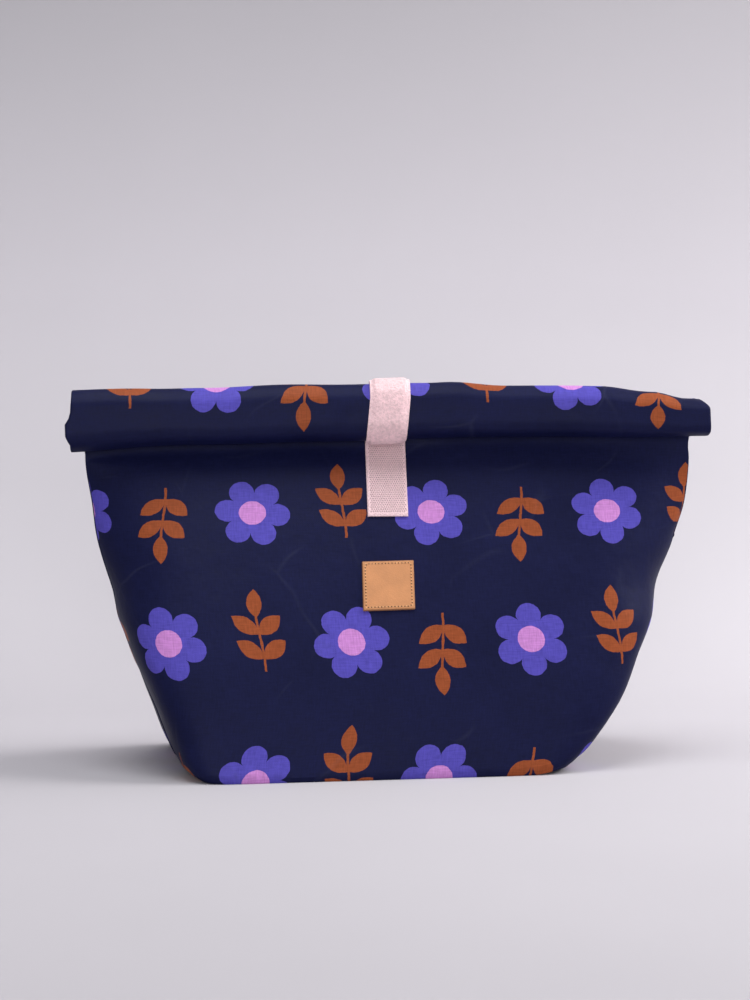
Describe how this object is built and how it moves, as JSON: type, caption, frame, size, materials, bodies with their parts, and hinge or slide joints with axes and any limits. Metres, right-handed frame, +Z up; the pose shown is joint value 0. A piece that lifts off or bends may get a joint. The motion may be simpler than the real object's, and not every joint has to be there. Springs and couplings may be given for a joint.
{
  "type": "roll-top lunch bag",
  "caption": "Soft lunch bag with a boxed base, leaning walls and a rolled top that a fuzzy tape holds shut over a hook tape.",
  "frame": {"origin": "middle of the base, on the surface it stands on", "axes": "+X along the roll to the right, +Y to the back, +Z up; the hook tape and the patch face -Y"},
  "size_m": [0.316, 0.1465, 0.1887],
  "materials": {
    "coated_cotton": "navy coated cotton with a printed pattern, half-dull",
    "lining": "smooth grey wipe-clean lining",
    "hook_tape": "woven pink hook tape, dull",
    "loop_tape": "fuzzy pale pink loop tape, dull",
    "leather": "bare tan leather, half-dull",
    "tape_thread": "pink sewing thread",
    "patch_thread": "brown sewing thread"
  },
  "bodies": {
    "bag": {"outer_front_panel": "coated_cotton", "outer_back_panel": "coated_cotton", "outer_base_panel": "coated_cotton", "left_side_seam": "coated_cotton", "right_side_seam": "coated_cotton", "lining_front_panel": "lining", "lining_back_panel": "lining", "lining_base_panel": "lining", "hook_strip": "hook_tape", "hook_strip_stitching": "tape_thread", "leather_patch": "leather", "patch_stitching": "patch_thread", "loop_strip_back": "loop_tape", "loop_strip_stitching": "tape_thread"},
    "band_1": {"crease_1_back_wall": "coated_cotton", "crease_1_front_wall": "coated_cotton", "band_1_back_wall": "coated_cotton", "band_1_front_wall": "coated_cotton", "loop_strip_crest": "loop_tape", "loop_strip_face": "loop_tape"},
    "band_2": {"crease_2_back_wall": "coated_cotton", "crease_2_front_wall": "coated_cotton", "band_2_back_wall": "coated_cotton", "band_2_front_wall": "coated_cotton", "loop_strip_under": "loop_tape", "loop_strip_end": "loop_tape"},
    "band_3": {"crease_3_back_wall": "coated_cotton", "crease_3_front_wall": "coated_cotton", "band_3_back_wall": "coated_cotton", "band_3_front_wall": "coated_cotton"},
    "band_4": {"crease_4_back_wall": "coated_cotton", "crease_4_front_wall": "coated_cotton", "band_4_back_wall": "coated_cotton", "band_4_front_wall": "coated_cotton", "mouth_hem_back": "coated_cotton", "mouth_hem_front": "coated_cotton"}
  },
  "joints": [
    {"name": "crest_fold", "type": "hinge", "parent": "bag", "child": "band_1", "pos_m": [0, 0, 0.1795], "axis": [-1, 0, 0], "range_deg": [0, 179], "deforming": ["crease_1_back_wall", "crease_1_front_wall", "loop_strip_crest"]},
    {"name": "lower_fold", "type": "hinge", "parent": "band_1", "child": "band_2", "pos_m": [0, -0.0027, 0.1635], "axis": [-1, 0, 0], "range_deg": [0, 179], "deforming": ["crease_2_back_wall", "crease_2_front_wall", "loop_strip_under", "loop_strip_end", "band_2_back_wall", "band_2_front_wall"]},
    {"name": "upper_inner_fold", "type": "hinge", "parent": "band_2", "child": "band_3", "pos_m": [0, -0.00145, 0.1795], "axis": [-1, 0, 0], "range_deg": [0, 179], "deforming": ["crease_3_back_wall", "crease_3_front_wall", "band_3_back_wall", "band_3_front_wall"]},
    {"name": "lower_inner_fold", "type": "hinge", "parent": "band_3", "child": "band_4", "pos_m": [0, -0.0027, 0.1635], "axis": [-1, 0, 0], "range_deg": [0, 179], "deforming": ["crease_4_back_wall", "crease_4_front_wall", "band_4_back_wall", "band_4_front_wall", "mouth_hem_back", "mouth_hem_front"]}
  ],
  "couplings": [
    {"joint": "lower_fold", "follows": "crest_fold", "ratio": 1},
    {"joint": "upper_inner_fold", "follows": "crest_fold", "ratio": 1},
    {"joint": "lower_inner_fold", "follows": "crest_fold", "ratio": 1}
  ]
}
